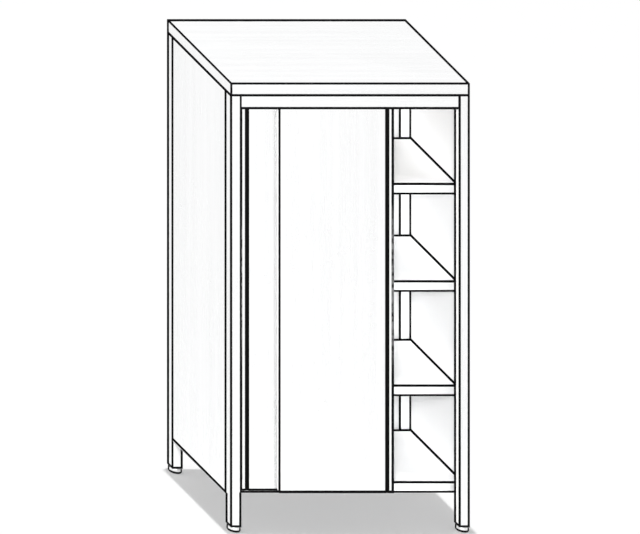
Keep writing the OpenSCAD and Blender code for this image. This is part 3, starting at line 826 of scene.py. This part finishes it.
def makeBackPanel(look):
    low, high = inMm("back_panel")
    half = look["sheet"] / 2
    front, x0, x1 = low[1] + half, low[0] + half, high[0] - half
    section = [(x0, high[1]), (x0, front), (x1, front), (x1, high[1])]
    tray = foldSheet(section, look["sheet"], look["bend"], (low[2], high[2]), alongZ, backSteel)
    lip = foldSheet([(front + look["lipGap"], low[2] + half), (high[1], low[2] + half)], look["sheet"], 0,
                    (x0 + look["lipInset"], x1 - look["lipInset"]), alongX, backSteel)
    finishPiece("backPanel", joinMeshes("backPanel", [tray, lip]), backSteel, "cabinet",
                ["back_panel"], dull=looksForward, marks={}, bare=looksForward)


makeHeader(headerLook)
makeSidePanel("side_panel_left", -1, panelLook)
makeSidePanel("side_panel_right", 1, panelLook)
makeBackPanel(backLook)
print("header and panels made")


# doors: one sheet wrapped round the core, with the grip groove folded into it

doorLook = {"sheet": 0.8, "bend": 1.4, "backReturn": 12.0, "gripEdge": 21.0, "gripWidth": 16.0,
            "gripDepth": 12.0, "tabInset": 1.2}
doorMarks = {"front": {"-Y": (5, 11.2, 11.2, 4), "-X": (8.6, 0, 6, 4)},
             "rear": {"-Y": (9.2, 4.2, 8.8, 4), "-X": (6.5, 0, 6, 4)}}
gripLook = {
    "wall": 1.5,
    "ribs": 3,
    "ribWidth": 1.1,
    "ribHeight": 0.7,
    "ribTop": 0.6,  # its width there, as a share
    "lip": 1.1,  # how far it reaches over the groove's edge
    "lipThick": 0.3,
    "lipGap": 0.02,
    "lipCut": 0.1,
    "mouth": (0.7, 0.5),  # the slanted entry: its start in walls, and its depth
    "innerCut": 0.8,
    "outerCut": 0.5,
    "stop": 2.2,  # the block that closes the lower end
    "stopShare": 0.5,  # how far it goes into the walls
    "stopInset": (0.4, 0.2),
}


def makeSkin(which, side, finish, look):
    # side is 1 for a grip at the right of the door and -1 for one at the left; the section follows the sheet
    body = which + "_door"
    low, high = inMm(body + "_skin")
    half = look["sheet"] / 2
    middle, edge = (low[0] + high[0]) / 2, (high[0] - low[0]) / 2
    front, back, grooveFloor = low[1] + half, high[1] - half, low[1] + look["gripDepth"] + half
    grooveOut = edge - look["gripEdge"]
    grooveIn = grooveOut - look["gripWidth"]
    path = [(look["backReturn"] - edge, back), (half - edge, back), (half - edge, front),
            (grooveIn - half, front), (grooveIn - half, grooveFloor), (grooveOut + half, grooveFloor),
            (grooveOut + half, front), (edge - half, front), (edge - half, back),
            (edge - look["backReturn"], back)]
    section = [(middle + side * x, y) for x, y in path]
    skin = foldSheet(section, look["sheet"], look["bend"] - half, (low[2], high[2]), alongZ, finish)

    # a tab closes each end of the hollow between the groove and the edge
    inset = look["tabInset"]
    x0, x1 = sorted((middle + side * (grooveOut + inset), middle + side * (edge - inset)))
    tabs = [bevelledBlock((x0, low[1] + inset, z), (x1, high[1] - inset, z + look["sheet"]))
            for z in (low[2], high[2] - look["sheet"])]
    finishPiece(which + "DoorSkin", joinMeshes("skin", [skin] + tabs), finish, body,
                [body + "_skin"], dull=looksLeft, marks=doorMarks[which])


def linerOutline(low, high, doorFront, look):
    # a ribbed channel with thin lips over the groove's edges, each half measured inwards from its own side
    x0, x1, rear, wall = low[0], high[0], high[1], look["wall"]
    under, face = doorFront - look["lipGap"], doorFront - look["lipThick"]
    lip, lipCut, deep = look["lip"], look["lipCut"], rear - wall
    mouthStart, mouthDepth = look["mouth"]
    inner = [(-lip, under), (-lip, face + lipCut), (lipCut - lip, face), (wall * mouthStart, face),
             (wall, face + mouthDepth), (wall, deep - look["innerCut"]), (wall + look["innerCut"], deep)]
    outer = [(0, under), (0, rear - look["outerCut"]), (look["outerCut"], rear)]
    ribs = []
    pitch = (x1 - x0 - 2 * wall) / (look["ribs"] + 1)
    for i in range(look["ribs"]):
        middle, foot, top = x0 + wall + pitch * (i + 1), look["ribWidth"] / 2, deep - look["ribHeight"]
        crest = foot * look["ribTop"]
        ribs += [(middle - foot, deep), (middle - crest, top), (middle + crest, top), (middle + foot, deep)]
    return ([(x0 + u, y) for u, y in inner] + ribs + [(x1 - u, y) for u, y in inner[::-1]]
            + [(x1 - u, y) for u, y in outer] + [(x0 + u, y) for u, y in outer[::-1]])


def makeLiner(which, look):
    body = which + "_door"
    doorFront = inMm(body + "_skin")[0][1]
    low, high = inMm(body + "_grip")
    outline = linerOutline(low, high, doorFront, look)
    channel = loftRings([[(x, y, z) for x, y in outline] for z in (low[2], high[2])], splitCaps=True)
    sides = look["wall"] * look["stopShare"]
    ahead, up = look["stopInset"]
    stop = bevelledBlock((low[0] + sides, low[1] + ahead, low[2] + up),
                         (high[0] - sides, high[1] - sides, low[2] + look["stop"]))
    finishPiece(which + "DoorGrip", joinMeshes("grip", [channel, stop]), gripBlack, body,
                [body + "_grip"], sharpAt=50)


for which, side, finish in (("front", 1, frontDoorSteel), ("rear", -1, rearDoorSteel)):
    makeSkin(which, side, finish, doorLook)
    makeLiner(which, gripLook)
print("doors made")


# feet: turned cups with three flutes to turn them by

footLook = {
    "steps": 90,
    "round": 2.4,
    "roundSteps": 8,
    "baseRing": 1.0,  # a ring of points this far inside the round keeps the base flat
    "grooveAt": 14.0,
    "grooveDepth": 0.5,
    "grooveHalf": (0.4, 0.9),  # half its width at the bottom and at the rim
    "crown": (1.2, 0.3, 0.4),  # the slope at the top: its width, and how far in and down it bends
    "well": (7.4, 6.6, 0.8),  # the sunk middle: its radius at the top and at the bottom, and its depth
    "flutes": (-47.0, 62.0, 172.0),  # where their middles are, in degrees
    "fluteHalf": 18.0,
    "fluteDepth": 0.8,
    "fluteFrom": 0.8,  # a flute fades out towards this share of the radius
    "fluteFar": 2.0,  # in half widths, counts as clear of the flutes
}


def fluteReach(angle, look):
    # degrees from the nearest flute's middle, counted in half widths
    return min(abs((angle - middle + 180) % 360 - 180) for middle in look["flutes"]) / look["fluteHalf"]


def turned(profile, middle, look):
    # profile is a closed run of (radius, height) in millimetres, from the axis back to the axis
    lathe = bmesh.new()
    rings, steps, widest = [], look["steps"], max(radius for radius, height in profile)
    cut = [look["fluteDepth"] * max(0, 1 - fluteReach(360 * i / steps, look) ** 2) for i in range(steps)]
    for radius, height in profile:
        if radius == 0:
            rings.append([lathe.verts.new((middle[0] * mm, middle[1] * mm, height * mm))])
            continue
        share = max(0, (radius / widest - look["fluteFrom"]) / (1 - look["fluteFrom"]))
        ring = []
        for i in range(steps):
            reach, turn = radius - share * cut[i], 2 * math.pi * i / steps
            ring.append(lathe.verts.new(((middle[0] + reach * math.cos(turn)) * mm,
                                         (middle[1] + reach * math.sin(turn)) * mm, height * mm)))
        rings.append(ring)
    for a, b in zip(rings, rings[1:]):
        for i in range(steps):
            j = (i + 1) % steps
            # a point on the axis comes twice here and counts once
            around = (a[i % len(a)], a[j % len(a)], b[j % len(b)], b[i % len(b)])
            lathe.faces.new(list(dict.fromkeys(around)))
    return meshFrom("turned", lathe)


def footProfile(look, radius, height):
    bend, groove, depth = look["round"], look["grooveAt"], look["grooveDepth"]
    narrow, wide = look["grooveHalf"]
    crownWidth, crownStep, crownDepth = look["crown"]
    wellTop, wellBottom, wellDepth = look["well"]
    return ([(0, 0), (radius - bend - look["baseRing"], 0)]
            + arc((radius - bend, bend), bend, -90, 0, look["roundSteps"])
            + [(radius, groove - wide), (radius - depth, groove - narrow), (radius - depth, groove + narrow),
               (radius, groove + wide), (radius, height - crownWidth),
               (radius - crownStep, height - crownDepth), (radius - crownWidth, height),
               (wellTop, height), (wellBottom, height - wellDepth), (0, height - wellDepth)])


for corner in corners:
    node = "foot_pad_" + corner
    low, high = inMm(node)
    middle = [(low[k] + high[k]) / 2 for k in (0, 1)]
    radius = min(high[k] - low[k] for k in (0, 1)) / 2
    cup = turned(footProfile(footLook, radius, high[2]), middle, footLook)
    cup.attributes.new("flute", "FLOAT", "POINT")
    for vert in cup.vertices:
        angle = math.degrees(math.atan2(vert.co.y / mm - middle[1], vert.co.x / mm - middle[0]))
        reach = min(footLook["fluteFar"], fluteReach(angle, footLook))
        cup.attributes["flute"].data[vert.index].value = reach
    finishPiece(camelName("foot_" + corner), cup, footSteel, "foot_" + corner, [node],
                sharpAt=40)
print("feet made")


# screws: a low round head with a cross recess, set on points

screwLook = {
    "headHeight": 1.5,
    "headSteps": 20,
    "crown": 0.8,  # how narrow the head is at its crown, as a share
    "shankSteps": 16,
    "slotLong": 0.9,  # the arms of the cross, in head radii
    "slotWide": 0.204,
    "recess": 0.55,  # the height of the cross, in head heights
    "recessShift": 0.25,  # how far its middle lies inside the crown, in its own heights
}


def screwTree(look):
    tree, source = startTree("panHeadScrews", {
        "Points": "Geometry", "Head": "Float", "HeadHeight": "Float", "Shank": "Float", "Length": "Float",
        "Recess": "Float", "Steps": "Int", "Turn": "Vector", "Finish": "Material"})
    head, tall, length, recess = (Signal(tree, source[label])
                                  for label in ("Head", "HeadHeight", "Length", "Recess"))

    def lifted(geometry, z):
        place = addStep(tree, "ShaderNodeCombineXYZ", {"Z": z})
        return addStep(tree, "GeometryNodeTransform", {"Geometry": geometry, "Translation": place})

    # the head hangs under z = 0 and the shank rises from it
    cap = addStep(tree, "GeometryNodeMeshCone",
                  {"Vertices": source["Steps"], "Radius Top": head, "Radius Bottom": head * look["crown"],
                   "Depth": tall}, {"fill_type": "NGON"})
    cap = lifted(cap, tall * -1.0)
    long, wide = head * look["slotLong"], head * look["slotWide"]
    for x, y in ((long, wide), (wide, long)):
        size = addStep(tree, "ShaderNodeCombineXYZ", {"X": x, "Y": y, "Z": tall * recess})
        bar = lifted(addStep(tree, "GeometryNodeMeshCube", {"Size": size}),
                     tall * recess * look["recessShift"] - tall)
        cap = addStep(tree, "GeometryNodeMeshBoolean", {"Mesh 1": cap, "Mesh 2": bar},
                      {"operation": "DIFFERENCE"})
    shank = addStep(tree, "GeometryNodeMeshCylinder",
                    {"Vertices": look["shankSteps"], "Radius": source["Shank"], "Depth": length},
                    {"fill_type": "NGON"})
    joined = addNode(tree, "GeometryNodeJoinGeometry")
    for part in (cap, lifted(shank, length * 0.5)):
        tree.links.new(part, joined.inputs[0])
    turn = addStep(tree, "FunctionNodeEulerToRotation", {0: source["Turn"]})
    placed = addStep(tree, "GeometryNodeInstanceOnPoints",
                     {"Points": source["Points"], "Instance": joined.outputs[0], "Rotation": turn})
    endTree(tree, placed, source["Finish"])
    return tree


screwsTree = screwTree(screwLook)
screwTurns = {("Z", 1): (0, 0, 0), ("Z", -1): (math.pi, 0, 0), ("Y", 1): (-math.pi / 2, 0, 0)}


def solidBoxes(node):
    # the boxes round the separate solids of a CAD node
    copy = bmesh.new()
    copy.from_mesh(nodes[node].data)
    bmesh.ops.remove_doubles(copy, verts=copy.verts, dist=weldReach)
    seen, boxes = set(), []
    for start in copy.verts:
        if start in seen:
            continue
        members = [start]
        seen.add(start)
        for vert in members:  # grows while it is read
            others = [edge.other_vert(vert) for edge in vert.link_edges]
            fresh = [other for other in others if other not in seen]
            seen.update(fresh)
            members += fresh
        boxes.append([Vector([pick(vert.co[k] for vert in members) for k in range(3)])
                      for pick in (min, max)])
    copy.free()
    return boxes


def setScrews(label, node, body, axis, sign, shank, look):
    # axis is the screw's axis and sign the way its point looks
    k = "XYZ".index(axis)
    points, length, head, tall = [], 0, 0, look["headHeight"] * mm
    for low, high in solidBoxes(node):
        place = (low + high) / 2
        place[k] = (low[k] + tall) if sign > 0 else (high[k] - tall)
        points.append(tuple(place))
        length = high[k] - low[k] - tall
        head = (high[(k + 1) % 3] - low[(k + 1) % 3]) / 2
    spots = bpy.data.meshes.new("spots")
    spots.from_pydata(points, [], [])
    mesh = runTree(screwsTree, spots, {
        "Head": head, "HeadHeight": tall, "Shank": shank * mm, "Length": length, "Recess": look["recess"],
        "Steps": look["headSteps"], "Turn": screwTurns[axis, sign], "Finish": screwSteel})
    finishPiece(label, mesh, screwSteel, body, [node], along=axis)


setScrews("topScrews", "top_screws", "cabinet", "Z", 1, 2.5, screwLook)
setScrews("guideScrews", "guide_screws", "cabinet", "Y", 1, 2.2, screwLook)
for which in ("front", "rear"):
    setScrews(which + "HangerScrews", which + "_door_hanger_screws", which + "_door", "Z", -1, 2.2, screwLook)
print("screws set")


# the other CAD pieces keep their shape and take a finish

def dress(material, *names):
    for name in names:
        slots = nodes[name].material_slots
        if not slots:
            nodes[name].data.materials.append(material)
        for slot in slots:
            slot.material = material


def ofDoors(*parts):
    return [which + "_door_" + part for which in ("front", "rear") for part in parts]


dress(plateSteel, "leg_top_plates", "guide_plate", *ofDoors("hangers"))
dress(plugGrey, "leg_plugs")
dress(boardBrown, "top_board")
dress(combBrown, *ofDoors("core"))
dress(sectionSteelX, "top_stiffeners", "top_rail_rear", "door_track", "shelf_stiffeners",
      *ofDoors("top_channel", "bottom_channel"))
dress(sectionSteelY, "top_rail_left", "top_rail_right", "shelf_supports")
dress(stopRubber, "track_stops")
dress(nylonWhite, "guide_pins", *ofDoors("roller_left", "roller_right"))
dress(screwSteel, *ofDoors("axles"), *["foot_stem_" + corner for corner in corners])
dress(doorBackSteel, *ofDoors("back"))
print("CAD pieces dressed")


# floor, world and lamps

stageLook = {
    "floorReach": 9.0,
    "floorColor": (0.93, 0.93, 0.93),
    "floorRoughness": 0.9,
    "shadowShare": 0.69,  # how much of the floor's look is its own lit colour, the rest is plain white
    "worldStrength": 0.45,
}
# the overhead lamp is high and a little behind the cabinet, for the floor's shadow; the others light only it
lampLooks = {
    "overhead": {"place": (0, 0.57, 45.0), "target": (0, 0, 0), "size": (0.3, 0.3), "power": 12800.0},
    "sideSoftbox": {"place": (-1.9, -4.0, 1.0), "target": (0.3, 0, 0.95), "size": (2.0, 2.2), "power": 90.0},
    "highSoftbox": {"place": (-0.4, -3.2, 4.1), "target": (0.32, 0, 0.95), "size": (2.0, 1.6), "power": 60.0},
    "farSoftbox": {"place": (-3.0, -6.2, 4.3), "target": (0.3, 0, 0.95), "size": (1.6, 1.6), "power": 570.0},
}


def whiteForSight(tree):
    # 1 for what the camera sees, straight or in metal or glass
    paths = addNode(tree, "ShaderNodeLightPath")
    seen = Signal(tree, paths.outputs["Is Camera Ray"])
    for other in ("Is Glossy Ray", "Is Transmission Ray"):
        seen = seen + Signal(tree, paths.outputs[other])
    return seen


def makeFloor(look):
    mesh = bpy.data.meshes.new("floor")
    reach = look["floorReach"]
    mesh.from_pydata([(-reach, -reach, 0), (reach, -reach, 0), (reach, reach, 0), (-reach, reach, 0)],
                     [], [(0, 1, 2, 3)])
    material, tree, shader = newMaterial("floorPaper")
    setSockets(tree, shader, {"Base Color": tinted(look["floorColor"]), "Roughness": look["floorRoughness"],
                              "Specular IOR Level": 0.0})
    glow = addStep(tree, "ShaderNodeEmission", {"Color": (1, 1, 1, 1), "Strength": 1.0})
    share = whiteForSight(tree) * (1 - look["shadowShare"])
    both = addStep(tree, "ShaderNodeMixShader", {0: share, 1: shader.outputs[0], 2: glow})
    setSockets(tree, tree.nodes["Material Output"], {"Surface": both})
    mesh.materials.append(material)
    linkObject("floor", mesh)


def makeWorld(look):
    world = bpy.data.worlds.new("studio")
    scene.world = world
    world.use_nodes = True
    tree = world.node_tree
    strength = look["worldStrength"] + whiteForSight(tree) * (1 - look["worldStrength"])
    setSockets(tree, tree.nodes["Background"], {"Color": (1, 1, 1, 1), "Strength": strength})


def makeLamp(name, look, onlyFor=None):
    lamp = bpy.data.lights.new(name, "AREA")
    lamp.shape = "RECTANGLE"
    lamp.size, lamp.size_y = look["size"]
    lamp.energy = look["power"]
    made = linkObject(name, lamp)
    made.location = look["place"]
    aim = Vector(look["target"]) - Vector(look["place"])
    made.rotation_euler = aim.to_track_quat("-Z", "Y").to_euler()
    if onlyFor:
        made.light_linking.receiver_collection = onlyFor


makeFloor(stageLook)
makeWorld(stageLook)
cabinetPieces = bpy.data.collections.new("cabinetPieces")
for thing in scene.objects:
    if thing.type == "MESH" and thing.name != "floor":
        cabinetPieces.objects.link(thing)
for name, look in lampLooks.items():
    makeLamp(name, look, None if name == "overhead" else cabinetPieces)
scene.view_settings.view_transform = "Standard"
print("stage set")
